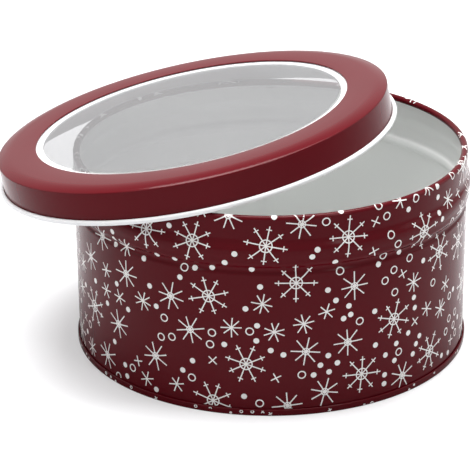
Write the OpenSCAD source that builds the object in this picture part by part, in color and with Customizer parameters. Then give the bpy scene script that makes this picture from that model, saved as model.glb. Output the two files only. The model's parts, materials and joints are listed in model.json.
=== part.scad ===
// Round tin with a lift-off window lid, all in millimetres.
// The origin is the centre of the tin's foot, +Z up; the photographed front faces -Y.
// Every metal piece is one sheet: a path through the middle of its thickness,
// drawn in the plane of radius and height, given its thickness and revolved.

/* [Tin] */
// Diameter over the straight wall
tin_d = 180; // [140:1:240]
// Height from the foot to the top of the rim curl
tin_h = 93; // [60:1:160]
// Thickness of the tinplate, the same in tin and lid
sheet_t = 0.25; // [0.2:0.01:0.3]
// How far the neck lies inside the straight wall
neck_in = 0.1; // [0:0.05:0.4]
// Diameter of the inward curl at the rim
rim_curl_d = 3.1; // [2.6:0.1:3.6]
// How far round the rim curl is rolled, in degrees
rim_curl_turn = 300; // [270:5:320]

/* [Lid stop bead] */
// How far the bead stands out of the neck
bead_out = 1.6; // [0.8:0.1:2.4]
// Depth of the bead's crest below the rim
bead_drop = 16; // [14.5:0.5:20]
// Height of the swell from the neck to the crest
bead_rise = 6.3; // [5:0.1:8]
// Height of the bead's gently falling face
bead_face = 4.6; // [3:0.1:7]
// How far that face falls back
bead_fall = 0.45; // [0.2:0.05:0.8]
// Height of the step from that face into the groove
groove_step = 4.1; // [3:0.1:6]
// Depth of the groove below the straight wall
groove_in = 0.7; // [0.3:0.1:1.2]
// Height of the run from the groove out to the wall
groove_run = 2.5; // [2:0.1:4]

/* [Foot seam] */
// Height of the folded seam round the foot
seam_h = 3; // [2.7:0.1:3.6]
// Air between the folded layers
seam_gap = 0.08; // [0.05:0.01:0.12]
// Height of the floor's outer land, to the middle of the sheet
floor_lift = 3.4; // [3:0.1:6]
// How far the middle of the floor is pressed up
floor_step = 0.8; // [0.4:0.1:1.5]
// Diameter of the raised middle of the floor
floor_panel_d = 158; // [80:1:164]
// Radius of the bend between floor and wall
floor_bend = 0.8; // [0.5:0.1:1.5]

/* [Side seam] */
// Width of the locked seam down the back of the wall
side_seam_w = 5; // [3:0.5:8]
// How far its folded layers stand inside the wall
side_seam_t = 0.5; // [0.4:0.05:0.75]
// Width of the fine line that it leaves outside
side_line_w = 0.4; // [0.2:0.05:0.8]
// Depth of that line
side_line_in = 0.1; // [0.05:0.01:0.15]

/* [Lid frame] */
// Gap all round between the lid's skirt and the rim
lid_clearance = 0.6; // [0.3:0.05:1]
// Height of the lid over all
lid_h = 16; // [13:0.5:20]
// Diameter of the outward curl at the lid's edge
lid_curl_d = 2.3; // [2:0.1:2.6]
// How far round that curl is rolled, in degrees
lid_curl_turn = 308; // [280:2:312]
// Diameter of the opening in the lid's top
opening_d = 145; // [100:1:150]
// Width of the flat hem folded under the opening's edge
hem_w = 3; // [1.5:0.5:4]
// Width of the rounded shoulder, from flat top to skirt
shoulder_w = 6.8; // [4:0.2:8]
// Slope of the shoulder where it meets the corner, in degrees
shoulder_slope = 24; // [15:1:35]
// Radius of the crisp corner above the skirt
corner_r = 0.6; // [0.5:0.05:1]

/* [Window and its ring] */
// Thickness of the clear sheet
window_t = 0.35; // [0.2:0.05:0.5]
// How far the clear sheet reaches under the frame
window_overlap = 5.5; // [3.5:0.5:6]
// Air on each face of the clear sheet
window_air = 0.02; // [0.01:0.01:0.05]
// Diameter of the roll round the ring's inner edge
ring_roll_d = 2; // [1.6:0.1:2.4]
// How far the roll stands inside the opening
ring_inset = 3.1; // [2:0.1:4]
// How far round the roll goes, in degrees
ring_roll_turn = 260; // [230:5:290]
// How far the ring's outer land lies below its seat
ring_step = 1.5; // [1.2:0.1:2.5]
// Width of the step between seat and land
ring_step_w = 5.5; // [4:0.5:7]
// Depth of the ring's collar inside the skirt
ring_collar = 4.5; // [2:0.5:6]
// Air between the collar and the skirt
collar_air = 0.03; // [0.02:0.01:0.08]

/* [How the lid leans on the tin] */
// Tilt of the lid, in degrees
lean_tilt = 11.1; // [9.5:0.1:13]
// Compass of its low side, in degrees from +X towards +Y
lean_azimuth = 170; // [0:1:359]
// Air at each of the three places where the lid rests
lean_gap = 0.3; // [0.2:0.05:0.5]

/* [Hidden] */
$fn = 180;

enamel_red = [0.36, 0.04, 0.08];
base_red = [0.30, 0.03, 0.06];
lid_red = [0.42, 0.05, 0.09];
lacquer_white = [0.90, 0.91, 0.90];
clear_sheet = [0.85, 0.88, 0.90, 0.35];

// Largest turn between two points on a bend, in degrees
bend_step = 18;
half_t = sheet_t / 2;
wall_r = tin_d / 2;
neck_r = wall_r - neck_in;

// Points from angle a0 to a1 round a centre
function arc(centre, r, a0, a1) =
    let (n = max(2, ceil(abs(a1 - a0) / bend_step)))
    [for (i = [0:n]) let (a = a0 + (a1 - a0) * i / n) centre + r * [cos(a), sin(a)]];

// Two equal bends that lead from p to q, upright at both ends
function s_bend(p, q) =
    let (w = q[0] - p[0], h = q[1] - p[1],
         turn = 2 * atan(abs(w / h)), r = abs(h) / (2 * sin(turn)),
         sx = sign(w), sy = sign(h),
         n = max(2, ceil(turn / bend_step)))
    concat(
        [for (i = [0:n]) let (a = turn * i / n) p + [sx * r * (1 - cos(a)), sy * r * sin(a)]],
        [for (i = [n - 1:-1:0]) let (a = turn * i / n) q - [sx * r * (1 - cos(a)), sy * r * sin(a)]]);

// The same, level at both ends
function s_step(p, q) = [for (v = s_bend([p[1], p[0]], [q[1], q[0]])) [v[1], v[0]]];

// One list of points from several, with repeated points left out
function route(parts) =
    let (all = [for (part = parts) each part])
    [for (i = [0:len(all) - 1]) if (i == 0 || norm(all[i] - all[i - 1]) > 0.001) all[i]];

function unit(v) = v / norm(v);

// The path moved sideways by d, to its left where d is positive
function beside(path, d) =
    let (last = len(path) - 1)
    [for (i = [0:last])
        let (before = unit(path[max(i, 1)] - path[max(i, 1) - 1]),
             after = unit(path[min(i, last - 1) + 1] - path[min(i, last - 1)]),
             mid = unit(before + after))
        path[i] + d / (mid * before) * [-mid[1], mid[0]]];

// Outline of a sheet of thickness t whose middle follows the path
function sheet(path, t) =
    let (left = beside(path, t / 2), right = beside(path, -t / 2))
    concat(left, [for (i = [len(right) - 1:-1:0]) right[i]]);

// Foot seam: the wall's flange and the base's rim, folded round each other
layer = sheet_t + seam_gap;
wall_mid = wall_r - half_t;
base_hook_mid = wall_mid + layer;
wall_hook_mid = wall_mid + 2 * layer;
seam_mid = wall_mid + 3 * layer;
seat_mid = wall_mid - layer;
fold_r = layer;
foot_bend = 0.4;
wall_fold_z = sheet_t + seam_gap + half_t + fold_r;
base_fold_z = seam_h - half_t - fold_r;
hook_lap = 0.65;

// Bead and groove: heights of their ends, from the rim down
crest_z = tin_h - bead_drop;
face_end_z = crest_z - bead_face;
groove_z = face_end_z - groove_step;
wall_top_z = groove_z - groove_run;
crest_r = neck_r + bead_out;
rim_r = rim_curl_d / 2;
rim_mid_r = neck_r - rim_r;
rim_mid_z = tin_h - rim_r;

// The wall's middle from height z0 on the straight wall to z1 on the neck
function wall_path(z0, z1) = route([
    [[wall_mid, z0]],
    s_bend([wall_mid, wall_top_z], [wall_mid - groove_in, groove_z]),
    s_bend([wall_mid - groove_in, groove_z], [crest_r - bead_fall - half_t, face_end_z]),
    s_bend([crest_r - bead_fall - half_t, face_end_z], [crest_r - half_t, crest_z]),
    s_bend([crest_r - half_t, crest_z], [neck_r - half_t, crest_z + bead_rise]),
    [[neck_r - half_t, z1]]]);

// Lid, in its own frame: origin at the centre of its flat top, +Z up
skirt_in = neck_r + lid_clearance;
skirt_r = skirt_in + sheet_t;
opening_r = opening_d / 2;
lid_curl_r = lid_curl_d / 2;
lid_curl_mid_r = skirt_in + lid_curl_r;
lid_curl_mid_z = lid_curl_r - lid_h;
hem_air = 0.06;
hem_fold_r = (sheet_t + hem_air) / 2;
hem_z = -2 * sheet_t - hem_air;
shoulder_in_r = skirt_r - shoulder_w;
shoulder_r = (shoulder_w - corner_r) / sin(shoulder_slope) + corner_r;
corner_mid_r = skirt_r - corner_r;
corner_mid_z = (shoulder_r - corner_r) * cos(shoulder_slope) - shoulder_r;

// Clear sheet and the ring that holds it up against the frame
window_r = opening_r + window_overlap;
window_top_z = hem_z - window_air;
window_low_z = window_top_z - window_t;
seat_z = window_low_z - window_air;
roll_r = ring_roll_d / 2;
roll_mid_r = opening_r - ring_inset + roll_r;
land_z = seat_z - ring_step;
collar_mid_r = skirt_in - collar_air - half_t;
collar_bend = 1;
step_out_r = collar_mid_r - collar_bend - 4;

// How the lid leans: its window on the rim's low side, and its curl across the
// rim at two places. Lengths run along the lean and up; sizes are those of the
// circles through the middle of each curl, so both curls' radii are allowed for.
curl_to_window = window_low_z - lid_curl_mid_z;
touch = rim_r + lid_curl_r + lean_gap;

// Where the two circles cross in plan, when the lid's lies d above the rim's
function cross_at(d) = rim_mid_r
    - (curl_to_window - rim_r - lean_gap + cos(lean_tilt) * d) / sin(lean_tilt);
// Distance from there to the lid's middle, up the slope
function cross_reach(x) = sqrt(pow(lid_curl_mid_r, 2) - pow(rim_mid_r, 2) + x * x);
// Share of the upright gap that is the true gap between the crossing curls
function cross_share(x) =
    let (level = x * cos(lean_tilt) + cross_reach(x))
    level / norm([level, rim_mid_r * sin(lean_tilt)]);
// The upright gap that leaves the curls the wanted air, found by repeating
function cross_gap(d, rounds) =
    rounds == 0 ? d : cross_gap(touch / cross_share(cross_at(d)), rounds - 1);

cross_x = cross_at(cross_gap(touch, 6));
lean_out = cross_x + cos(lean_tilt) * cross_reach(cross_x);
lean_level = sin(lean_tilt) * rim_mid_r + cos(lean_tilt) * rim_mid_z
    - curl_to_window + rim_r + lean_gap;
lean_z = (lean_level - sin(lean_tilt) * lean_out) / cos(lean_tilt);
lid_out = lean_out - lid_curl_mid_z * sin(lean_tilt);
lid_z = lean_z - lid_curl_mid_z * cos(lean_tilt);

// Moves a lid piece from the lid's own frame to where the lid leans
module leaning() {
    translate([lid_out * cos(lean_azimuth), lid_out * sin(lean_azimuth), lid_z])
        rotate([0, lean_tilt, lean_azimuth])
            children();
}

// Wall with its flange hook, straight side, groove, bead, neck and rim curl
module tin_wall() {
    seam_low_z = floor_lift + floor_step + 1;
    seam_top_z = rim_mid_z - rim_curl_d;
    seam_angle = side_seam_w / wall_r * 180 / PI;
    bite = sheet_t / 5;
    color(enamel_red)
    difference() {
        union() {
            rotate_extrude()
                polygon(sheet(route([
                    [[wall_hook_mid, base_fold_z + fold_r - hook_lap]],
                    arc([base_hook_mid, wall_fold_z], fold_r, 0, -180),
                    wall_path(wall_fold_z, rim_mid_z),
                    arc([rim_mid_r, rim_mid_z], rim_r - half_t, 0, rim_curl_turn)]), sheet_t));
            // folded layers of the locked seam, inside the back of the wall
            rotate([0, 0, 90 - seam_angle / 2])
                rotate_extrude(angle = seam_angle)
                    polygon(sheet(beside(wall_path(seam_low_z, seam_top_z),
                                         half_t - bite + (side_seam_t + bite) / 2),
                                  side_seam_t + bite));
        }
        // the fine line that the seam leaves outside
        translate([-side_line_w / 2, wall_r - side_line_in, seam_h + 1])
            cube([side_line_w, bead_out + 1, wall_top_z - seam_h - 1]);
    }
}

// Floor with its raised middle, and the rim folded round the wall's flange
module tin_base() {
    panel_r = floor_panel_d / 2;
    panel_z = floor_lift + floor_step;
    panel_slope_w = 4;
    color(base_red)
    rotate_extrude()
        polygon(sheet(route([
            [[0, panel_z]],
            s_step([panel_r - panel_slope_w, panel_z], [panel_r, floor_lift]),
            arc([seat_mid - floor_bend, floor_lift - floor_bend], floor_bend, 90, 0),
            arc([seat_mid + foot_bend, foot_bend + half_t], foot_bend, 180, 270),
            arc([seam_mid - foot_bend, foot_bend + half_t], foot_bend, 270, 360),
            arc([seam_mid - fold_r, base_fold_z], fold_r, 0, 180),
            [[base_hook_mid, wall_fold_z - fold_r + hook_lap]]]), sheet_t));
}

// Hemmed opening, flat top, shoulder, skirt and outward curl
module lid_frame() {
    color(lid_red)
    leaning()
        rotate_extrude()
            polygon(sheet(route([
                [[opening_r + hem_w, hem_z + half_t]],
                arc([opening_r + half_t + hem_fold_r, -half_t - hem_fold_r], hem_fold_r, 270, 90),
                arc([shoulder_in_r, -shoulder_r], shoulder_r - half_t, 90, 90 - shoulder_slope),
                arc([corner_mid_r, corner_mid_z], corner_r - half_t, 90 - shoulder_slope, 0),
                arc([lid_curl_mid_r, lid_curl_mid_z], lid_curl_r - half_t,
                    180, 180 + lid_curl_turn)]), sheet_t));
}

// Clear disc behind the opening
module window() {
    color(clear_sheet)
    leaning()
        translate([0, 0, window_low_z])
            cylinder(r = window_r, h = window_t);
}

// Rolled inner edge, seat, outer land and collar of the window's ring
module window_ring() {
    color(lacquer_white)
    leaning()
        rotate_extrude()
            polygon(sheet(route([
                arc([roll_mid_r, seat_z - roll_r], roll_r - half_t, 90 + ring_roll_turn, 90),
                s_step([step_out_r - ring_step_w, seat_z - half_t], [step_out_r, land_z - half_t]),
                arc([collar_mid_r - collar_bend, land_z - half_t - collar_bend],
                    collar_bend, 90, 0),
                [[collar_mid_r, land_z - half_t - ring_collar]]]), sheet_t));
}

tin_wall();
tin_base();
lid_frame();
window();
window_ring();
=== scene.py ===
"""A round printed tin with a window lid that leans on its rim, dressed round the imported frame."""

import json
import logging
import math
import random
from dataclasses import dataclass
from enum import Enum
from operator import attrgetter
from typing import Sequence

import bmesh
import bpy
import numpy as np
from mathutils import Matrix, Vector

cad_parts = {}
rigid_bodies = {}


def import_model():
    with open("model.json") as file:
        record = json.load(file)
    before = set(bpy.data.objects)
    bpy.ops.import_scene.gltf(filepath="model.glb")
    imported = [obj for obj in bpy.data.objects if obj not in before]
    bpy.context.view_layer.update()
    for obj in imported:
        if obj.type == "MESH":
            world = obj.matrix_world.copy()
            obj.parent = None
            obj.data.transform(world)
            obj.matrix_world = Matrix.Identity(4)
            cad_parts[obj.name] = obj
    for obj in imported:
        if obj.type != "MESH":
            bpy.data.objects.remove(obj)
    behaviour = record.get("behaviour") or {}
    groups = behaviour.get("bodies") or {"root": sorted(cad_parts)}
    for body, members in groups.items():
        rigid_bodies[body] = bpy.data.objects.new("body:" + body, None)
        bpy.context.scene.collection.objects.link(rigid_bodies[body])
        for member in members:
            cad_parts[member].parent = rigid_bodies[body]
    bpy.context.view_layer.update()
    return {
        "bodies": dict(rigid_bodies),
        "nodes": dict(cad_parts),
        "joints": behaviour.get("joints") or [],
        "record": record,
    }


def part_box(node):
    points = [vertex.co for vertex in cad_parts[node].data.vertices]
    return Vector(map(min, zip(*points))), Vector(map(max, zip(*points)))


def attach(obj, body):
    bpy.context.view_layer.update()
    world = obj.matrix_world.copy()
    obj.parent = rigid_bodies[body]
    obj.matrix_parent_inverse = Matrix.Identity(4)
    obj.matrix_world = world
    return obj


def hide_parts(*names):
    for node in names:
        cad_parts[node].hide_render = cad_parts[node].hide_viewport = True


LOG = logging.getLogger("window_lid_tin")
MM = 0.001

# Where the side seam lies round the tin, in degrees
BACK = 90.0
# A shape keeps a crease where its faces turn by more than this, in degrees
CREASE = 50.0
# Points closer than this are one: on a path in millimetres, on a mesh in metres
PATH_MERGE = 0.001
METAL_MERGE = 1e-6
INK_MERGE = 1e-7
# The longest straight step of an ink line, in millimetres, so that it can bend
INK_STEP = 0.9
# The sockets of a colour mix, which go by number because their names repeat
MIX_FACTOR, MIX_FIRST, MIX_SECOND, MIX_RESULT = 0, 6, 7, 2

Point = tuple[float, float]
Colour = tuple[float, float, float]
# A figure's place on a flat sheet, with its turn or its radius as the third number
Spot = tuple[float, float, float]


class Side(Enum):
    """The two faces of a metal sheet, as material slots of its mesh."""

    LEFT = 0
    RIGHT = 1


class BendStep(Enum):
    """The largest turn between two points of a bend, in degrees, by the kind of bend."""

    SHOULDER = 2.0
    OFFSET = 4.0
    PRINTED = 6.0
    CURL = 8.0
    ROLL = 10.0
    CORNER = 12.0
    FOLD = 15.0


class Motif(Enum):
    """The figures of the print, by name."""

    FLAKE = "flake"
    BURST = "burst"
    STAR_EIGHT = "star_eight"
    STAR_SIX = "star_six"
    CROSS = "cross"
    RING = "ring"
    DOT = "dot"


# Profiles of bent sheet, in millimetres of radius and height


def arc(centre: Point, radius: float, start: float, end: float, step: BendStep) -> list[Point]:
    """Points round a centre.

    Args:
        centre: The bend's centre.
        radius: Its radius.
        start: The first angle, in degrees.
        end: The last angle.
        step: How finely it is cut.

    Returns:
        The points, both ends included.
    """
    fewest = 3
    count = max(fewest, math.ceil(abs(end - start) / step.value))
    turns = [math.radians(start + (end - start) * i / count) for i in range(count + 1)]
    return [(centre[0] + radius * math.cos(a), centre[1] + radius * math.sin(a)) for a in turns]


def s_bend(p: Point, q: Point) -> list[Point]:
    """Two equal bends from p to q, upright at both ends.

    Args:
        p: The first point.
        q: The last point.

    Returns:
        The points from p to q.
    """
    fewest = 4
    wide, high = q[0] - p[0], q[1] - p[1]
    turn = 2 * math.atan(abs(wide / high))
    radius = abs(high) / (2 * math.sin(turn))
    sx, sy = math.copysign(1, wide), math.copysign(1, high)
    count = max(fewest, math.ceil(math.degrees(turn) / BendStep.OFFSET.value))
    turns = [turn * i / count for i in range(count + 1)]
    steps = [(sx * radius * (1 - math.cos(a)), sy * radius * math.sin(a)) for a in turns]
    first = [(p[0] + x, p[1] + z) for x, z in steps]
    last = [(q[0] - x, q[1] - z) for x, z in steps]
    return first + last[-2::-1]


def s_step(p: Point, q: Point) -> list[Point]:
    """The same two bends from p to q, level at both ends."""
    return [(b, a) for a, b in s_bend((p[1], p[0]), (q[1], q[0]))]


def route(*parts: Sequence[Point]) -> np.ndarray:
    """One path from several, with repeated points left out.

    Args:
        *parts: The paths, in order.

    Returns:
        The points of the whole path, one to a row.
    """
    points = [np.array(v, float) for part in parts for v in part]
    kept = points[:1]
    for point in points[1:]:
        if np.linalg.norm(point - kept[-1]) > PATH_MERGE:
            kept.append(point)
    return np.array(kept)


def run_lengths(path: np.ndarray) -> np.ndarray:
    """The length of each step of a path."""
    return np.linalg.norm(np.diff(path, axis=0), axis=1)


def left_normals(path: np.ndarray) -> np.ndarray:
    """The normals to the left of a path, longer at corners so that an offset keeps its width.

    Args:
        path: The path's points.

    Returns:
        One normal for each point.
    """
    ahead = np.diff(path, axis=0)
    ahead /= np.linalg.norm(ahead, axis=1)[:, None]
    before = np.vstack([ahead[:1], ahead])
    after = np.vstack([ahead, ahead[-1:]])
    mid = before + after
    mid /= np.linalg.norm(mid, axis=1)[:, None]
    share = np.sum(mid * before, axis=1)[:, None]
    return np.stack([-mid[:, 1], mid[:, 0]], axis=1) / share


# Meshes and objects


def linked(name: str, data: bpy.types.ID) -> bpy.types.Object:
    """Makes an object of its data and puts it in the scene.

    Args:
        name: The object's name.
        data: Its mesh, light or camera.

    Returns:
        The object.
    """
    made = bpy.data.objects.new(name, data)
    bpy.context.collection.objects.link(made)
    return made


def close_mesh(mesh: bpy.types.Mesh, distance: float) -> None:
    """Merges a mesh's doubled points and turns its faces outwards.

    Args:
        mesh: The mesh.
        distance: How close two points are to be one, in metres.
    """
    shape = bmesh.new()
    shape.from_mesh(mesh)
    bmesh.ops.remove_doubles(shape, verts=shape.verts, dist=distance)
    bmesh.ops.recalc_face_normals(shape, faces=shape.faces)
    shape.to_mesh(mesh)
    shape.free()


@dataclass(frozen=True)
class Turn:
    """How a profile is revolved: in how many steps, from where and how far, in degrees."""

    steps: int
    start: float = 0.0
    sweep: float = 360.0

    @property
    def closed(self) -> bool:
        """Whether it comes round to its start."""
        return self.sweep >= 360.0

    @property
    def rings(self) -> int:
        """How many profiles stand round the axis."""
        return self.steps if self.closed else self.steps + 1

    def points(self, outline: np.ndarray) -> np.ndarray:
        """Stands an outline at each angle of the turn.

        Args:
            outline: Its points, in radius and height.

        Returns:
            The points in space, one to a row, profile after profile.
        """
        angles = np.radians(self.start + self.sweep * np.arange(self.rings) / self.steps)
        points = np.zeros((self.rings, len(outline), 3))
        points[:, :, 0] = np.cos(angles)[:, None] * outline[:, 0]
        points[:, :, 1] = np.sin(angles)[:, None] * outline[:, 0]
        points[:, :, 2] = outline[:, 1]
        return points.reshape(-1, 3)

    def faces(self, count: int) -> tuple[list[tuple[int, ...]], list[int]]:
        """Joins the profiles of a sheet whose left face is the first half of its outline.

        Args:
            count: How many points the outline has.

        Returns:
            The faces, and the material slot of each.
        """
        faces: list[tuple[int, ...]] = []
        slots: list[int] = []
        for i in range(self.steps):
            a, b = i * count, ((i + 1) % self.rings) * count
            for k in range(count):
                n = (k + 1) % count
                faces.append((a + k, a + n, b + n, b + k))
                slots.append(Side.LEFT.value if k < count // 2 - 1 else Side.RIGHT.value)
        if not self.closed:
            last = (self.rings - 1) * count
            faces += [tuple(range(count)), tuple(range(last, last + count))]
            slots += [Side.LEFT.value] * 2
        return faces, slots


def sheet_piece(
    name: str, path: np.ndarray, thickness: float, place: Matrix, turn: Turn
) -> bpy.types.Object:
    """A sheet revolved about its axis, with one material slot for each face of the metal.

    Args:
        name: The new object's name.
        path: The middle of the sheet, in millimetres of radius and height.
        thickness: The sheet's thickness, in millimetres.
        place: Where the piece's own frame lies, in metres.
        turn: How it is revolved.

    Returns:
        The object, whose place is in its mesh.
    """
    normals = left_normals(path)
    left, right = path + normals * thickness / 2, path - normals * thickness / 2
    outline = np.vstack([left, right[::-1]])
    outline[:, 0] = np.maximum(outline[:, 0], 0.0)
    faces, slots = turn.faces(len(outline))
    mesh = bpy.data.meshes.new(name)
    mesh.from_pydata((turn.points(outline) * MM).tolist(), [], faces)
    mesh.polygons.foreach_set("material_index", slots)
    mesh.transform(place)
    close_mesh(mesh, METAL_MERGE)
    mesh.shade_smooth()
    mesh.set_sharp_from_angle(angle=math.radians(CREASE))
    return linked(name, mesh)


# Finishes


@dataclass(frozen=True)
class Finish:
    """A painted or lacquered surface, with the small unevenness that the real one has."""

    name: str
    colour: Colour
    shade: Colour
    roughness: float
    gloss: float = 0.09
    wear: float = 0.2
    cloud_scale: float = 30.0
    cloud_detail: float = 5.0
    peel_scale: float = 900.0
    peel_height: float = 0.02
    peel_depth: float = 0.0005
    alpha: float = 1.0

    def material(self) -> bpy.types.Material:
        """Builds the node material.

        Returns:
            The material, made once and reused after that.
        """
        if self.name in bpy.data.materials:
            return bpy.data.materials[self.name]
        made = bpy.data.materials.new(self.name)
        made.use_nodes = True
        nodes, links = made.node_tree.nodes, made.node_tree.links
        shader = nodes["Principled BSDF"]
        shader.inputs["Specular IOR Level"].default_value = self.gloss
        shader.inputs["Alpha"].default_value = self.alpha
        place = nodes.new("ShaderNodeTexCoord")
        cloud = nodes.new("ShaderNodeTexNoise")
        cloud.inputs["Scale"].default_value = self.cloud_scale
        cloud.inputs["Detail"].default_value = self.cloud_detail
        links.new(place.outputs["Object"], cloud.inputs["Vector"])
        blend = nodes.new("ShaderNodeMix")
        blend.data_type = "RGBA"
        blend.inputs[MIX_FIRST].default_value = (*self.colour, 1.0)
        blend.inputs[MIX_SECOND].default_value = (*self.shade, 1.0)
        links.new(cloud.outputs["Fac"], blend.inputs[MIX_FACTOR])
        links.new(blend.outputs[MIX_RESULT], shader.inputs["Base Color"])
        worn = nodes.new("ShaderNodeMapRange")
        worn.inputs["To Min"].default_value = self.roughness * (1 - self.wear)
        worn.inputs["To Max"].default_value = self.roughness * (1 + self.wear)
        links.new(cloud.outputs["Fac"], worn.inputs["Value"])
        links.new(worn.outputs["Result"], shader.inputs["Roughness"])
        peel = nodes.new("ShaderNodeTexNoise")
        peel.inputs["Scale"].default_value = self.peel_scale
        links.new(place.outputs["Object"], peel.inputs["Vector"])
        bump = nodes.new("ShaderNodeBump")
        bump.inputs["Strength"].default_value = self.peel_height
        bump.inputs["Distance"].default_value = self.peel_depth
        links.new(peel.outputs["Fac"], bump.inputs["Height"])
        links.new(bump.outputs["Normal"], shader.inputs["Normal"])
        return made


BODY_ENAMEL = Finish("body_red_enamel", (0.086, 0.0014, 0.0050), (0.070, 0.0012, 0.0040), 0.15)
# The lid's red is a lighter copy of the body's red: the lift is painted light, standing in for the top
# light on the lid
LID_ENAMEL_LIT = Finish("lid_red_enamel_painted_light", (0.100, 0.0020, 0.0060), (0.086, 0.0017, 0.0050), 0.14, gloss=0.10)
WHITE_LACQUER = Finish("white_lacquer", (0.94, 0.94, 0.95), (0.90, 0.90, 0.91), 0.28, gloss=0.4)
# The lid's white is a darker copy of the tin's white lacquer: painted shade that holds down the brightly
# lit curl and ring
LID_LACQUER_SHADED = Finish("lid_white_lacquer_painted_shade", (0.78, 0.78, 0.79), (0.73, 0.73, 0.74), 0.28, gloss=0.4)
SILVER_INK = Finish("silver_ink", (0.78, 0.77, 0.755), (0.70, 0.69, 0.675), 0.32, gloss=0.3)
SEAM_SHADOW = Finish("seam_shadow", (0.020, 0.004, 0.006), (0.030, 0.006, 0.008), 0.6, gloss=0.1)
# The film's half-opaque grey is partly its haze and partly painted: a painted reflection of the bright
# studio, and painted shade that dims what is seen through it
FILM_HAZE_AND_SHEEN = Finish(
    "window_film_haze_and_sheen", (0.23, 0.23, 0.235), (0.18, 0.18, 0.185), 0.10,
    gloss=0.5, cloud_scale=12.0, peel_scale=60.0, peel_height=0.03, alpha=0.52,
)
CLEAR_EDGE = Finish(
    "clear_window_edge", (0.90, 0.90, 0.91), (0.86, 0.86, 0.87), 0.08,
    gloss=0.5, cloud_scale=12.0, peel_scale=60.0, peel_height=0.02, alpha=0.10,
)


# The print's figures


@dataclass(frozen=True)
class Stroke:
    """A solid line or shape of ink, as flat corners that are given a thickness."""

    corners: list[list[Point]]
    ink: float = 0.06

    def prism(self) -> tuple[list[tuple[float, float, float]], list[tuple[int, ...]]]:
        """Closes a grid of corners into a thin solid.

        Returns:
            The vertices and the faces.
        """
        rows, cols = len(self.corners), len(self.corners[0])
        flat = [point for row in self.corners for point in row]
        verts = [(x, y, self.ink) for x, y in flat] + [(x, y, -self.ink) for x, y in flat]
        low = len(flat)
        faces: list[tuple[int, ...]] = []
        for r in range(rows - 1):
            for c in range(cols - 1):
                a, b = r * cols + c, (r + 1) * cols + c
                faces.append((a, a + 1, b + 1, b))
                faces.append((low + b, low + b + 1, low + a + 1, low + a))
        edge = list(range(cols))
        edge += [r * cols + cols - 1 for r in range(1, rows)]
        edge += [(rows - 1) * cols + c for c in range(cols - 2, -1, -1)]
        edge += [r * cols for r in range(rows - 2, 0, -1)]
        for here, there in zip(edge, edge[1:] + edge[:1]):
            faces.append((there, here, low + here, low + there))
        return verts, faces


def bar(p: Point, q: Point, width: float) -> Stroke:
    """A straight line of ink, cut into short steps so that it can bend.

    Args:
        p: Its first end.
        q: Its last end.
        width: How wide it is.

    Returns:
        The stroke.
    """
    length = math.dist(p, q)
    count = max(1, math.ceil(length / INK_STEP))
    wide, high = q[0] - p[0], q[1] - p[1]
    side = (high / length * width / 2, -wide / length * width / 2)
    middle = [(p[0] + wide * i / count, p[1] + high * i / count) for i in range(count + 1)]
    return Stroke([
        [(x + side[0], y + side[1]) for x, y in middle],
        [(x - side[0], y - side[1]) for x, y in middle],
    ])


def hoop(radius: float, width: float, count: int = 20, rows: int = 1) -> Stroke:
    """A ring of ink round the figure's middle.

    Args:
        radius: The radius of the middle of its line.
        width: How wide the line is.
        count: How many sides the ring has.
        rows: How many rows it is cut into, so that it can bend.

    Returns:
        The stroke.
    """
    turns = [math.tau * i / count for i in range(count + 1)]
    radii = [radius + width / 2 - width * i / rows for i in range(rows + 1)]
    return Stroke([[(out * math.cos(a), out * math.sin(a)) for a in turns] for out in radii])


@dataclass(frozen=True)
class Arms:
    """How a figure with arms is drawn, in shares of its radius and of the print's line."""

    count: int
    sway: float
    hub: float = 0.0
    hub_line: float = 1.0
    rung_at: float = 0.0
    rung_half: float = 0.0
    rung_line: float = 0.9

    def strokes(self, radius: float, line: float, uneven: float, hand: random.Random) -> list[Stroke]:
        """Draws the hub, if there is one, and the arms with their rungs.

        Args:
            radius: The figure's radius.
            line: The width of the print's line.
            uneven: The share of the radius by which an arm may fall short.
            hand: The source of the drawing's small unevenness.

        Returns:
            The strokes.
        """
        made = [hoop(radius * self.hub, line * self.hub_line)] if self.hub else []
        for i in range(self.count):
            angle = math.tau * i / self.count + hand.uniform(-self.sway, self.sway)
            end = radius * (1 - hand.uniform(0, uneven))
            way = (math.cos(angle), math.sin(angle))
            made.append(bar((0.0, 0.0), (way[0] * end, way[1] * end), line))
            if self.rung_at:
                out, half = end * self.rung_at, radius * self.rung_half
                first = (way[0] * out + way[1] * half, way[1] * out - way[0] * half)
                last = (way[0] * out - way[1] * half, way[1] * out + way[0] * half)
                made.append(bar(first, last, line * self.rung_line))
        return made


ARMED = {
    Motif.FLAKE: Arms(8, 0.07, hub=0.27, rung_at=0.82, rung_half=0.12),
    Motif.BURST: Arms(8, 0.08, hub=0.22, hub_line=0.8),
    Motif.STAR_EIGHT: Arms(8, 0.1),
    Motif.STAR_SIX: Arms(6, 0.1),
    Motif.CROSS: Arms(4, 0.1),
}


@dataclass(frozen=True)
class Share:
    """A figure's part in a print: its radius in millimetres, and how many a square metre has."""

    motif: Motif
    radius: float
    per_square_metre: int


WALL_SHARES = (
    Share(Motif.FLAKE, 9.8, 760),
    Share(Motif.BURST, 7.0, 560),
    Share(Motif.STAR_EIGHT, 4.9, 800),
    Share(Motif.STAR_SIX, 4.0, 800),
    Share(Motif.CROSS, 2.7, 500),
    Share(Motif.RING, 1.9, 1900),
    Share(Motif.DOT, 1.3, 4600),
)
SEAM_SHARES = (
    Share(Motif.DOT, 0.6, 22000),
    Share(Motif.CROSS, 0.95, 16000),
    Share(Motif.RING, 0.8, 14000),
)


# The surfaces that are printed


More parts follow.
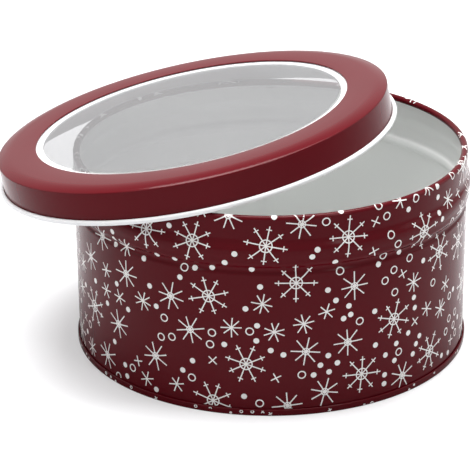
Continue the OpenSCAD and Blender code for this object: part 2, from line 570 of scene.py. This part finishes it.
@dataclass(frozen=True)
class FlatSheet:
    """A flat sheet to print on, in millimetres, before it is laid on its surface."""

    width: float
    height: float

    def across(self, a: float, b: float) -> float:
        """The distance between two places across the sheet."""
        return abs(a - b)

    def allowed(self, x: float, y: float, radius: float) -> bool:
        """Whether a figure of a radius may stand at a place."""
        return True

    def lay(self, flat: np.ndarray) -> np.ndarray:
        """Takes points of the flat sheet to their place in metres."""
        return flat * MM


@dataclass(frozen=True)
class WallSheet(FlatSheet):
    """The outside of a wall: x runs round it from the back, y along the path of its metal."""

    path: np.ndarray
    half: float
    radius: float
    margin: float | None = None

    def across(self, a: float, b: float) -> float:
        """The shorter way round between two places."""
        return min(abs(a - b), self.width - abs(a - b))

    def allowed(self, x: float, y: float, radius: float) -> bool:
        """Whether a figure keeps off the plain margin beside the side seam, if there is one."""
        return self.margin is None or min(x, self.width - x) > radius + self.margin

    def lay(self, flat: np.ndarray) -> np.ndarray:
        """Rolls the print round the outside of the path.

        Args:
            flat: Points of the flat sheet, in millimetres.

        Returns:
            Their places in metres.
        """
        steps = np.concatenate([[0.0], np.cumsum(run_lengths(self.path))])
        normals = -left_normals(self.path)
        normals /= np.linalg.norm(normals, axis=1)[:, None]
        along = np.clip(flat[:, 1], 0.0, steps[-1])
        out = self.half + flat[:, 2]
        radius = np.interp(along, steps, self.path[:, 0]) + out * np.interp(along, steps, normals[:, 0])
        height = np.interp(along, steps, self.path[:, 1]) + out * np.interp(along, steps, normals[:, 1])
        angle = math.radians(BACK) + flat[:, 0] / self.radius
        return np.stack([radius * np.cos(angle), radius * np.sin(angle), height], axis=1) * MM


@dataclass(frozen=True)
class PanelSheet(FlatSheet):
    """The round panel under the floor, printed from below, in the middle of a square sheet."""

    under_z: float

    @property
    def reach(self) -> float:
        """The printed circle's radius."""
        return self.width / 2

    def allowed(self, x: float, y: float, radius: float) -> bool:
        """Whether a figure lies wholly inside the circle."""
        return math.hypot(x - self.reach, y - self.reach) < self.reach - radius

    def lay(self, flat: np.ndarray) -> np.ndarray:
        """Turns the print to face down under the panel."""
        places = [flat[:, 0] - self.reach, flat[:, 1] - self.reach, self.under_z - flat[:, 2]]
        return np.stack(places, axis=1) * MM


# The print


def scatter_tree() -> bpy.types.NodeTree:
    """The node tree that copies a figure to each point, turned as the point says.

    Returns:
        The tree, made once and reused after that.
    """
    name = "scatter_figures"
    if name in bpy.data.node_groups:
        return bpy.data.node_groups[name]
    tree = bpy.data.node_groups.new(name, "GeometryNodeTree")
    asked = {"Geometry": "Geometry", "Figure": "Object", "Figure Scale": "Float", "Ink": "Material"}
    for label, kind in asked.items():
        tree.interface.new_socket(label, in_out="INPUT", socket_type="NodeSocket" + kind)
    tree.interface.new_socket("Geometry", in_out="OUTPUT", socket_type="NodeSocketGeometry")
    nodes, links = tree.nodes, tree.links
    given, result = nodes.new("NodeGroupInput"), nodes.new("NodeGroupOutput")
    figure = nodes.new("GeometryNodeObjectInfo")
    turn = nodes.new("GeometryNodeInputNamedAttribute")
    turn.data_type = "FLOAT"
    turn.inputs["Name"].default_value = "turn"
    axis = nodes.new("ShaderNodeCombineXYZ")
    copies = nodes.new("GeometryNodeInstanceOnPoints")
    real = nodes.new("GeometryNodeRealizeInstances")
    dress = nodes.new("GeometryNodeSetMaterial")
    links.new(given.outputs["Figure"], figure.inputs["Object"])
    links.new(turn.outputs["Attribute"], axis.inputs["Z"])
    links.new(given.outputs["Geometry"], copies.inputs["Points"])
    links.new(figure.outputs["Geometry"], copies.inputs["Instance"])
    links.new(axis.outputs["Vector"], copies.inputs["Rotation"])
    links.new(given.outputs["Figure Scale"], copies.inputs["Scale"])
    links.new(copies.outputs["Instances"], real.inputs["Geometry"])
    links.new(real.outputs["Geometry"], dress.inputs["Geometry"])
    links.new(given.outputs["Ink"], dress.inputs["Material"])
    links.new(dress.outputs["Geometry"], result.inputs["Geometry"])
    return tree


def stamp(shape: bmesh.types.BMesh, figure: bpy.types.Object, spots: list[Spot]) -> None:
    """Adds a copy of a figure to a flat print at each of its places.

    Args:
        shape: The flat print.
        figure: The figure.
        spots: Its places and turns.
    """
    points = bpy.data.meshes.new("spots")
    points.from_pydata([(x, y, 0.0) for x, y, _ in spots], [], [])
    turns = points.attributes.new("turn", "FLOAT", "POINT")
    turns.data.foreach_set("value", [turn for _, _, turn in spots])
    carrier = linked("spots", points)
    tree = scatter_tree()
    sockets = {s.name: s.identifier for s in tree.interface.items_tree if s.in_out == "INPUT"}
    modifier = carrier.modifiers.new("scatter", "NODES")
    modifier.node_group = tree
    modifier[sockets["Figure"]] = figure
    modifier[sockets["Figure Scale"]] = 1.0
    modifier[sockets["Ink"]] = SILVER_INK.material()
    graph = bpy.context.evaluated_depsgraph_get()
    flat = bpy.data.meshes.new_from_object(carrier.evaluated_get(graph))
    shape.from_mesh(flat)
    bpy.data.objects.remove(carrier)
    bpy.data.meshes.remove(flat)


def cut_to_height(shape: bmesh.types.BMesh, height: float) -> None:
    """Cuts a flat print off at its sheet's long edges and closes the ink there.

    Args:
        shape: The flat print.
        height: The sheet's height, in millimetres.
    """
    for edge, way in ((0.0, -1.0), (height, 1.0)):
        everything = shape.verts[:] + shape.edges[:] + shape.faces[:]
        bmesh.ops.bisect_plane(
            shape, geom=everything, plane_co=(0, edge, 0), plane_no=(0, way, 0), clear_outer=True
        )
    cut = [edge for edge in shape.edges if edge.is_boundary]
    bmesh.ops.holes_fill(shape, edges=cut, sides=0)


@dataclass(frozen=True)
class PrintPattern:
    """An all-over print: its figures, its line, and how the figures are scattered."""

    shares: tuple[Share, ...]
    line: float = 0.52
    uneven: float = 0.14
    seed: int = 11
    gap: float = 0.9
    tries: int = 4000
    dot_fill: float = 0.98
    dot_sides: int = 16
    dot_rows: int = 3

    def strokes(self, share: Share) -> list[Stroke]:
        """The lines that make up one figure.

        Args:
            share: Which figure, and its size.

        Returns:
            Its strokes, in millimetres round its middle.
        """
        hand = random.Random(self.seed + len(share.motif.value))
        if share.motif is Motif.RING:
            return [hoop(share.radius - self.line / 2, self.line)]
        if share.motif is Motif.DOT:
            return [hoop(share.radius / 2, share.radius * self.dot_fill, self.dot_sides, self.dot_rows)]
        return ARMED[share.motif].strokes(share.radius, self.line, self.uneven, hand)

    def figure(self, share: Share) -> bpy.types.Object:
        """One figure as a small flat object that is copied to its places.

        Args:
            share: Which figure, and its size.

        Returns:
            The object, which isn't in the scene.
        """
        verts: list[tuple[float, float, float]] = []
        faces: list[tuple[int, ...]] = []
        for stroke in self.strokes(share):
            more, sides = stroke.prism()
            faces += [tuple(i + len(verts) for i in side) for side in sides]
            verts += more
        name = "motif_" + share.motif.value
        mesh = bpy.data.meshes.new(name)
        mesh.from_pydata(verts, [], faces)
        return bpy.data.objects.new(name, mesh)

    def stands_clear(self, sheet: FlatSheet, spot: Spot, taken: list[Spot]) -> bool:
        """Says whether a new figure keeps its gap to all that are there.

        Args:
            sheet: The flat sheet.
            spot: The new figure's place and radius.
            taken: The places and radii of the others.

        Returns:
            True where it touches none.
        """
        x, y, radius = spot
        for other_x, other_y, other in taken:
            dx = sheet.across(other_x, x)
            if dx * dx + (other_y - y) ** 2 < (radius + other + self.gap) ** 2:
                return False
        return True

    def scatter(self, sheet: FlatSheet) -> list[list[Spot]]:
        """Scatters the figures with no two touching, in the order of their shares.

        Args:
            sheet: The flat sheet.

        Returns:
            For each share its places and turns.
        """
        rng = random.Random(self.seed)
        taken: list[Spot] = []
        found: list[list[Spot]] = []
        for share in self.shares:
            spots: list[Spot] = []
            wanted = round(share.per_square_metre * sheet.width * sheet.height * MM * MM)
            for _ in range(self.tries):
                if len(spots) >= wanted:
                    break
                x, y = rng.uniform(0, sheet.width), rng.uniform(0, sheet.height)
                turn = rng.uniform(0, math.tau)
                spot = (x, y, share.radius)
                if sheet.allowed(*spot) and self.stands_clear(sheet, spot, taken):
                    taken.append(spot)
                    spots.append((x, y, turn))
            found.append(spots)
        return found

    def piece(self, name: str, sheet: FlatSheet) -> bpy.types.Object:
        """Prints the figures on a flat sheet and lays it on its surface.

        Args:
            name: The new object's name.
            sheet: The flat sheet.

        Returns:
            One object that holds the whole print.
        """
        shape = bmesh.new()
        for share, spots in zip(self.shares, self.scatter(sheet)):
            if spots:
                figure = self.figure(share)
                stamp(shape, figure, spots)
                bpy.data.objects.remove(figure)
        cut_to_height(shape, sheet.height)
        mesh = bpy.data.meshes.new(name)
        shape.to_mesh(mesh)
        shape.free()
        flat = np.zeros(len(mesh.vertices) * 3)
        mesh.vertices.foreach_get("co", flat)
        mesh.vertices.foreach_set("co", sheet.lay(flat.reshape(-1, 3)).ravel())
        close_mesh(mesh, INK_MERGE)
        mesh.materials.clear()
        mesh.materials.append(SILVER_INK.material())
        return linked(name, mesh)


WALL_PRINT = PrintPattern(WALL_SHARES)
SEAM_PRINT = PrintPattern(SEAM_SHARES, line=0.42, seed=5, gap=0.6, tries=3000)
UNDER_PRINT = PrintPattern(WALL_SHARES, seed=23)


# The object's two assemblies


def finish_piece(
    piece: bpy.types.Object, body: str, left: Finish, right: Finish, replaced: str | None = None
) -> bpy.types.Object:
    """Dresses both faces of a piece and fastens it to its body.

    Args:
        piece: The piece.
        body: The CAD body that it rides on.
        left: The finish of the sheet's left face.
        right: The finish of its right face.
        replaced: The CAD node that it stands for, if any.

    Returns:
        The same piece.
    """
    if not piece.data.materials:
        piece.data.materials.append(left.material())
        piece.data.materials.append(right.material())
    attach(piece, body)
    if replaced:
        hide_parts(replaced)
    return piece


@dataclass
class Tin:
    """The tin itself: wall with rim curl, bead and groove, floor with its folded seam, and the print.

    Sizes are in millimetres and turns in degrees.
    """

    wall_r: float = 90.0
    height: float = 93.0
    sheet: float = 0.25
    neck_in: float = 0.1
    rim_r: float = 1.55
    rim_turn: float = 300.0
    bead_out: float = 1.6
    crest_z: float = 77.0
    bead_rise: float = 6.3
    bead_face: float = 4.6
    bead_fall: float = 0.45
    groove_step: float = 4.1
    groove_in: float = 0.7
    groove_run: float = 2.5
    seam_h: float = 3.0
    seam_gap: float = 0.08
    floor_lift: float = 3.4
    floor_step: float = 0.8
    floor_panel_r: float = 79.0
    floor_ramp: float = 4.0
    floor_bend: float = 0.8
    foot_bend: float = 0.4
    hook_lap: float = 0.65
    side_fold_w: float = 5.0
    side_fold_t: float = 0.5
    side_fold_sunk: float = 0.02
    side_fold_floor_gap: float = 1.0
    side_line_w: float = 0.4
    side_line_t: float = 0.04
    side_line_foot_gap: float = 1.0
    side_line_drop: float = 12.0
    print_margin: float = 3.2
    print_foot_gap: float = 0.1
    print_rim_turn: float = 150.0
    seam_print_edge: float = 0.45
    under_print_in: float = 5.0
    turn: Turn = Turn(288)
    side_fold_steps: int = 6
    side_line_steps: int = 2

    @property
    def half(self) -> float:
        """Half the sheet's thickness."""
        return self.sheet / 2

    @property
    def wall_mid(self) -> float:
        """Radius of the middle of the straight wall."""
        return self.wall_r - self.half

    @property
    def layer(self) -> float:
        """Distance between two folded layers of the foot seam."""
        return self.sheet + self.seam_gap

    @property
    def seam_mid(self) -> float:
        """Radius of the middle of the foot seam's outer layer."""
        return self.wall_mid + 3 * self.layer

    @property
    def fold_z(self) -> float:
        """Height of the centre that the wall's flange is folded round."""
        return self.sheet + self.seam_gap + self.half + self.layer

    @property
    def panel_z(self) -> float:
        """Height of the middle of the floor's raised panel."""
        return self.floor_lift + self.floor_step

    @property
    def neck_r(self) -> float:
        """Outer radius of the neck."""
        return self.wall_r - self.neck_in

    @property
    def rim(self) -> Point:
        """The centre of the rim curl."""
        return self.neck_r - self.rim_r, self.height - self.rim_r

    def wall_path(self, low: float, high: float) -> list[Point]:
        """The middle of the wall's sheet.

        Args:
            low: The height that it starts from.
            high: The height that it ends at, above the bead.

        Returns:
            The points, from the bottom up.
        """
        face_z = self.crest_z - self.bead_face
        groove_z = face_z - self.groove_step
        crest_r = self.neck_r + self.bead_out
        groove = (self.wall_mid - self.groove_in, groove_z)
        face = (crest_r - self.bead_fall - self.half, face_z)
        crest = (crest_r - self.half, self.crest_z)
        neck = self.neck_r - self.half
        return (
            [(self.wall_mid, low)]
            + s_bend((self.wall_mid, groove_z - self.groove_run), groove)
            + s_bend(groove, face)
            + s_bend(face, crest)
            + s_bend(crest, (neck, self.crest_z + self.bead_rise))
            + [(neck, high)]
        )

    def back_turn(self, width: float, steps: int) -> Turn:
        """The turn of a narrow strip up the back.

        Args:
            width: The strip's width round the wall.
            steps: How many steps it has.

        Returns:
            The turn, with the back in its middle.
        """
        angle = math.degrees(width / self.wall_r)
        return Turn(steps, BACK - angle / 2, angle)

    def build_wall(self) -> bpy.types.Object:
        """Makes the wall from its folded flange to its rim curl.

        Returns:
            The piece.
        """
        top_fold_z = self.seam_h - self.half - self.layer
        path = route(
            [(self.wall_mid + 2 * self.layer, top_fold_z + self.layer - self.hook_lap)],
            arc((self.wall_mid + self.layer, self.fold_z), self.layer, 0, -180, BendStep.FOLD),
            self.wall_path(self.fold_z, self.rim[1]),
            arc(self.rim, self.rim_r - self.half, 0, self.rim_turn, BendStep.CURL),
        )
        wall = sheet_piece("tin_wall_enamelled", path, self.sheet, Matrix.Identity(4), self.turn)
        return finish_piece(wall, "tin", WHITE_LACQUER, BODY_ENAMEL, "tin_wall")

    def build_side_fold(self) -> bpy.types.Object:
        """Makes the locked side seam's folded layers inside the back.

        Returns:
            The piece.
        """
        low = self.panel_z + self.side_fold_floor_gap
        high = self.height - 3 * self.rim_r
        middle = route(self.wall_path(low, high))
        inside = middle + left_normals(middle) * (self.half + self.side_fold_t / 2 - self.side_fold_sunk)
        turn = self.back_turn(self.side_fold_w, self.side_fold_steps)
        fold = sheet_piece("side_seam_fold", inside, self.side_fold_t, Matrix.Identity(4), turn)
        return finish_piece(fold, "tin", WHITE_LACQUER, WHITE_LACQUER)

    def build_side_line(self) -> bpy.types.Object:
        """Makes the side seam's fine line outside the back.

        Returns:
            The piece.
        """
        low, high = self.seam_h + self.side_line_foot_gap, self.crest_z - self.side_line_drop
        path = route([(self.wall_r, low), (self.wall_r, high)])
        turn = self.back_turn(self.side_line_w, self.side_line_steps)
        line = sheet_piece("side_seam_line", path, self.side_line_t, Matrix.Identity(4), turn)
        return finish_piece(line, "tin", SEAM_SHADOW, SEAM_SHADOW)

    def build_base(self) -> bpy.types.Object:
        """Makes the floor and the rim that is folded round the wall's flange.

        Returns:
            The piece.
        """
        seat_mid = self.wall_mid - self.layer
        hook_mid = self.wall_mid + self.layer
        foot_z = self.foot_bend + self.half
        ramp_r = self.floor_panel_r - self.floor_ramp
        floor_bend = (seat_mid - self.floor_bend, self.floor_lift - self.floor_bend)
        top_fold = (hook_mid + self.layer, self.seam_h - self.half - self.layer)
        path = route(
            [(0.0, self.panel_z)],
            s_step((ramp_r, self.panel_z), (self.floor_panel_r, self.floor_lift)),
            arc(floor_bend, self.floor_bend, 90, 0, BendStep.ROLL),
            arc((seat_mid + self.foot_bend, foot_z), self.foot_bend, 180, 270, BendStep.CORNER),
            arc((self.seam_mid - self.foot_bend, foot_z), self.foot_bend, 270, 360, BendStep.CORNER),
            arc(top_fold, self.layer, 0, 180, BendStep.CORNER),
            [(hook_mid, self.fold_z - self.layer + self.hook_lap)],
        )
        base = sheet_piece("tin_base_enamelled", path, self.sheet, Matrix.Identity(4), self.turn)
        return finish_piece(base, "tin", WHITE_LACQUER, BODY_ENAMEL, "tin_base")

    def print_wall(self) -> bpy.types.Object:
        """Prints the wall, up and over the rim curl.

        Returns:
            The piece.
        """
        path = route(
            self.wall_path(self.seam_h + self.print_foot_gap, self.rim[1]),
            arc(self.rim, self.rim_r - self.half, 0, self.print_rim_turn, BendStep.PRINTED),
        )
        sheet = WallSheet(
            math.tau * self.wall_r, float(np.sum(run_lengths(path))),
            path, self.half, self.wall_r, self.print_margin,
        )
        made = WALL_PRINT.piece("tin_wall_print", sheet)
        return finish_piece(made, "tin", SILVER_INK, SILVER_INK)

    def print_foot_seam(self) -> bpy.types.Object:
        """Prints the small figures on the foot seam.

        Returns:
            The piece.
        """
        low, high = self.seam_print_edge, self.seam_h - self.seam_print_edge
        path = route([(self.seam_mid, low), (self.seam_mid, high)])
        height = self.seam_h - 2 * self.seam_print_edge
        sheet = WallSheet(math.tau * self.wall_r, height, path, self.half, self.wall_r)
        made = SEAM_PRINT.piece("foot_seam_print", sheet)
        return finish_piece(made, "tin", SILVER_INK, SILVER_INK)

    def print_underside(self) -> bpy.types.Object:
        """Prints the raised panel from below.

        Returns:
            The piece.
        """
        wide = 2 * (self.floor_panel_r - self.under_print_in)
        made = UNDER_PRINT.piece("underside_print", PanelSheet(wide, wide, self.panel_z - self.half))
        return finish_piece(made, "tin", SILVER_INK, SILVER_INK)

    def build(self) -> list[bpy.types.Object]:
        """Builds the whole tin.

        Returns:
            Its pieces.
        """
        return [
            self.build_wall(),
            self.build_side_fold(),
            self.build_side_line(),
            self.build_base(),
            self.print_wall(),
            self.print_foot_seam(),
            self.print_underside(),
        ]


@dataclass
class WindowLid:
    """The lift-off lid: frame with shoulder, skirt and curl, clear window, and the ring behind it.

    Sizes are in millimetres and turns in degrees. Heights count from the flat top.
    """

    skirt_in: float = 90.5
    sheet: float = 0.25
    height: float = 16.0
    curl_r: float = 1.15
    curl_turn: float = 308.0
    opening_r: float = 72.5
    hem_w: float = 3.0
    hem_air: float = 0.06
    shoulder_w: float = 6.8
    shoulder_slope: float = 24.0
    corner_r: float = 0.6
    window_t: float = 0.35
    window_lap: float = 5.5
    window_air: float = 0.02
    # Where the film's haze, painted reflection and painted shade stop, inside the ring's edge
    haze_and_sheen_in: float = 0.2
    roll_r: float = 1.0
    ring_inset: float = 3.1
    ring_roll_turn: float = 260.0
    ring_step: float = 1.5
    ring_step_w: float = 5.5
    ring_land_w: float = 4.0
    ring_bend: float = 1.0
    ring_collar: float = 4.5
    collar_air: float = 0.03
    frame_turn: Turn = Turn(320)
    inner_turn: Turn = Turn(256)

    @property
    def half(self) -> float:
        """Half the sheet's thickness."""
        return self.sheet / 2

    @property
    def hem_z(self) -> float:
        """Height of the hem's underside."""
        return -2 * self.sheet - self.hem_air

    @property
    def window_low_z(self) -> float:
        """Height of the clear sheet's underside."""
        return self.hem_z - self.window_air - self.window_t

    def place(self, window: bpy.types.Object) -> Matrix:
        """Reads the lid's lean from the clear disc in the frame.

        Args:
            window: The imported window, a plain disc.

        Returns:
            The lid's own frame: origin at the middle of its flat top, Z square to it.
        """
        largest = max(window.data.polygons, key=attrgetter("area"))
        normal = Vector(largest.normal)
        if normal.z < 0:
            normal = -normal
        low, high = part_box("window")
        middle = (low + high) / 2
        depth = -(self.window_low_z + self.window_t / 2) * MM
        turn = normal.to_track_quat("Z", "Y").to_matrix().to_4x4()
        return Matrix.Translation(middle + normal * depth) @ turn

    def build_frame(self, place: Matrix) -> bpy.types.Object:
        """Makes the red frame with its white inside, which its outward curl brings to view.

        Args:
            place: The lid's own frame.

        Returns:
            The piece.
        """
        skirt_r = self.skirt_in + self.sheet
        fold_r = (self.sheet + self.hem_air) / 2
        flank = 90 - self.shoulder_slope
        slope = math.radians(self.shoulder_slope)
        shoulder_r = (self.shoulder_w - self.corner_r) / math.sin(slope) + self.corner_r
        corner_z = (shoulder_r - self.corner_r) * math.cos(slope) - shoulder_r
        hem = (self.opening_r + self.half + fold_r, -self.half - fold_r)
        shoulder = (skirt_r - self.shoulder_w, -shoulder_r)
        corner = (skirt_r - self.corner_r, corner_z)
        curl = (self.skirt_in + self.curl_r, self.curl_r - self.height)
        path = route(
            [(self.opening_r + self.hem_w, self.hem_z + self.half)],
            arc(hem, fold_r, 270, 90, BendStep.FOLD),
            arc(shoulder, shoulder_r - self.half, 90, flank, BendStep.SHOULDER),
            arc(corner, self.corner_r - self.half, flank, 0, BendStep.CURL),
            arc(curl, self.curl_r - self.half, 180, 180 + self.curl_turn, BendStep.CURL),
        )
        frame = sheet_piece("lid_frame_enamelled", path, self.sheet, place, self.frame_turn)
        return finish_piece(frame, "lid", LID_ENAMEL_LIT, LID_LACQUER_SHADED, "lid_frame")

    def build_ring(self, place: Matrix) -> bpy.types.Object:
        """Makes the white ring that holds the clear sheet up against the frame.

        Args:
            place: The lid's own frame.

        Returns:
            The piece.
        """
        seat_z = self.window_low_z - self.window_air
        land_z = seat_z - self.ring_step
        collar_mid = self.skirt_in - self.collar_air - self.half
        out_r = collar_mid - self.ring_bend - self.ring_land_w
        roll = (self.opening_r - self.ring_inset + self.roll_r, seat_z - self.roll_r)
        bend = (collar_mid - self.ring_bend, land_z - self.half - self.ring_bend)
        path = route(
            arc(roll, self.roll_r - self.half, 90 + self.ring_roll_turn, 90, BendStep.ROLL),
            s_step((out_r - self.ring_step_w, seat_z - self.half), (out_r, land_z - self.half)),
            arc(bend, self.ring_bend, 90, 0, BendStep.CORNER),
            [(collar_mid, land_z - self.half - self.ring_collar)],
        )
        ring = sheet_piece("window_ring_lacquered", path, self.sheet, place, self.inner_turn)
        return finish_piece(ring, "lid", LID_LACQUER_SHADED, LID_LACQUER_SHADED, "window_ring")

    def build_window(self, place: Matrix) -> bpy.types.Object:
        """Makes the clear disc, grey across the opening and clear where it lies flat on the ring; the
        grey is partly haze and partly painted reflection and painted shade.

        Args:
            place: The lid's own frame.

        Returns:
            The piece.
        """
        middle = self.window_low_z + self.window_t / 2
        edge = self.opening_r - self.ring_inset - self.haze_and_sheen_in
        path = route([(0.0, middle), (edge, middle), (self.opening_r + self.window_lap, middle)])
        disc = sheet_piece("window_film", path, self.window_t, place, self.inner_turn)
        home = place.inverted()
        # Faces over the opening get the grey of haze, painted reflection and painted shade
        for face in disc.data.polygons:
            centre = home @ face.center
            hazy_and_sheened = math.hypot(centre.x, centre.y) <= edge * MM
            face.material_index = Side.LEFT.value if hazy_and_sheened else Side.RIGHT.value
        return finish_piece(disc, "lid", FILM_HAZE_AND_SHEEN, CLEAR_EDGE, "window")

    def build(self, window: bpy.types.Object) -> list[bpy.types.Object]:
        """Builds the whole lid.

        Args:
            window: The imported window, which says how the lid leans.

        Returns:
            Its pieces.
        """
        place = self.place(window)
        return [self.build_frame(place), self.build_ring(place), self.build_window(place)]


# Studio


@dataclass(frozen=True)
class Panel:
    """One soft light: where it hangs and how large it is, in metres, and its power in watts."""

    name: str
    at: tuple[float, float, float]
    size: tuple[float, float]
    power: float

    def hang(self, target: Vector) -> None:
        """Makes the light and turns it to the object.

        Args:
            target: The place that it faces.
        """
        data = bpy.data.lights.new(self.name, "AREA")
        data.shape = "RECTANGLE"
        data.size, data.size_y = self.size
        data.energy = self.power
        light = linked(self.name, data)
        turn = (target - Vector(self.at)).to_track_quat("-Z", "Y").to_matrix().to_4x4()
        light.matrix_world = Matrix.Translation(self.at) @ turn


@dataclass
class Studio:
    """Camera, floor and soft light, in metres and degrees."""

    camera_at: tuple[float, float, float] = (0.0, -0.9010, 0.4297)
    yaw: float = -1.05
    pitch: float = 23.02
    roll: float = -0.62
    lens: float = 161.32
    sensor: float = 36.0
    floor_half: float = 4.0
    floor_colour: Colour = (0.62, 0.62, 0.63)
    floor_glow: float = 0.34
    fill: float = 0.15
    target: tuple[float, float, float] = (0.0, 0.0, 0.05)
    panels: tuple[Panel, ...] = (
        Panel("top_panel", (0.0, 0.3, 1.8), (1.6, 1.2), 80),
        Panel("left_panel", (-1.5, 0.1, 0.8), (1.2, 1.2), 5),
        Panel("left_strip", (-1.0, -1.0, 0.95), (0.22, 0.9), 4),
        Panel("right_strip", (0.9, -1.1, 0.95), (0.22, 0.9), 4),
        Panel("right_panel", (1.5, 0.2, 0.8), (1.2, 1.2), 5),
    )

    def build_camera(self) -> None:
        """Sets the camera at the photograph's angle."""
        yaw, pitch, roll = (math.radians(a) for a in (self.yaw, self.pitch, self.roll))
        level = math.cos(pitch)
        ahead = Vector((math.sin(yaw) * level, math.cos(yaw) * level, -math.sin(pitch)))
        right = ahead.cross(Vector((0, 0, 1))).normalized()
        up = right.cross(ahead)
        turned = right * math.cos(roll) + up * math.sin(roll)
        upright = -right * math.sin(roll) + up * math.cos(roll)
        data = bpy.data.cameras.new("camera")
        data.lens = self.lens
        data.sensor_width = self.sensor
        camera = linked("camera", data)
        camera.matrix_world = Matrix.Translation(self.camera_at) @ Matrix(
            [(turned[i], upright[i], -ahead[i]) for i in range(3)]
        ).to_4x4()
        bpy.context.scene.camera = camera

    def build_floor(self) -> None:
        """Lays the pale floor, which looks white to the camera and keeps its shadows."""
        half = self.floor_half
        corners = [(-half, -half, 0), (half, -half, 0), (half, half, 0), (-half, half, 0)]
        mesh = bpy.data.meshes.new("floor")
        mesh.from_pydata(corners, [], [(0, 1, 2, 3)])
        floor = linked("floor", mesh)
        made = bpy.data.materials.new("pale_floor")
        made.use_nodes = True
        nodes, links = made.node_tree.nodes, made.node_tree.links
        nodes.remove(nodes["Principled BSDF"])
        paint = nodes.new("ShaderNodeBsdfDiffuse")
        paint.inputs["Color"].default_value = (*self.floor_colour, 1)
        glow = nodes.new("ShaderNodeEmission")
        glow.inputs["Strength"].default_value = self.floor_glow
        seen = nodes.new("ShaderNodeLightPath")
        either = nodes.new("ShaderNodeMath")
        either.operation = "MAXIMUM"
        black = nodes.new("ShaderNodeBsdfTransparent")
        black.inputs["Color"].default_value = (0, 0, 0, 1)
        pick = nodes.new("ShaderNodeMixShader")
        total = nodes.new("ShaderNodeAddShader")
        links.new(seen.outputs["Is Camera Ray"], either.inputs[0])
        links.new(seen.outputs["Is Transmission Ray"], either.inputs[1])
        links.new(either.outputs[0], pick.inputs[0])
        links.new(black.outputs[0], pick.inputs[1])
        links.new(glow.outputs[0], pick.inputs[2])
        links.new(paint.outputs[0], total.inputs[0])
        links.new(pick.outputs[0], total.inputs[1])
        links.new(total.outputs[0], nodes["Material Output"].inputs["Surface"])
        mesh.materials.append(made)

    def build_light(self) -> None:
        """Lights the tin from above and both sides, in a world that only looks bright."""
        world = bpy.data.worlds.new("studio")
        bpy.context.scene.world = world
        world.use_nodes = True
        nodes, links = world.node_tree.nodes, world.node_tree.links
        back = nodes["Background"]
        back.inputs["Color"].default_value = (1, 1, 1, 1)
        seen = nodes.new("ShaderNodeLightPath")
        shown = nodes.new("ShaderNodeMath")
        shown.operation = "MAXIMUM"
        level = nodes.new("ShaderNodeMapRange")
        level.inputs["To Min"].default_value = self.fill
        level.inputs["To Max"].default_value = 1.0
        links.new(seen.outputs["Is Camera Ray"], shown.inputs[0])
        links.new(seen.outputs["Is Glossy Ray"], shown.inputs[1])
        links.new(shown.outputs[0], level.inputs["Value"])
        links.new(level.outputs["Result"], back.inputs["Strength"])
        for panel in self.panels:
            panel.hang(Vector(self.target))
        bpy.context.scene.view_settings.view_transform = "Standard"

    def build(self) -> None:
        """Builds the whole studio."""
        self.build_camera()
        self.build_floor()
        self.build_light()


def main() -> None:
    """Builds the studio, the tin and its lid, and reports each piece."""
    logging.basicConfig(level=logging.INFO)
    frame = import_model()
    Studio().build()
    for piece in Tin().build() + WindowLid().build(frame["nodes"]["window"]):
        LOG.info("%s: %d faces", piece.name, len(piece.data.polygons))


if __name__ == "__main__":
    main()
